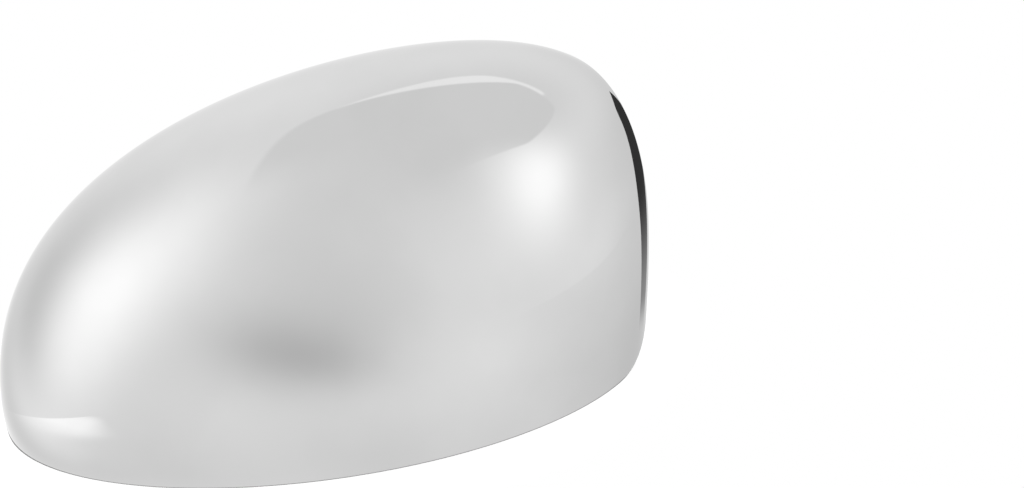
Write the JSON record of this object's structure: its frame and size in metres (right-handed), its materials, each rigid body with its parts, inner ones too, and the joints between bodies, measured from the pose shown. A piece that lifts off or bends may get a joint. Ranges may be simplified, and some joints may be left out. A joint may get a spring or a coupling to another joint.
{
  "type": "wing mirror cover",
  "caption": "Half-egg shaped chrome-plated plastic shell, open at its mouth and cut away at one end, that fits over a car's wing mirror housing.",
  "frame": {"origin": "centre of the cover's box, on the plane of its mouth", "axes": "+X towards the car door, -Y towards the mirror's top edge, +Z out of the cover's back, away from the mirror glass"},
  "size_m": [0.2184, 0.1472, 0.1083],
  "materials": {
    "plated_shell": "polished chrome plating outside, bare dark plastic inside"
  },
  "bodies": {
    "root": {"mirror_cover": "plated_shell"}
  },
  "joints": []
}
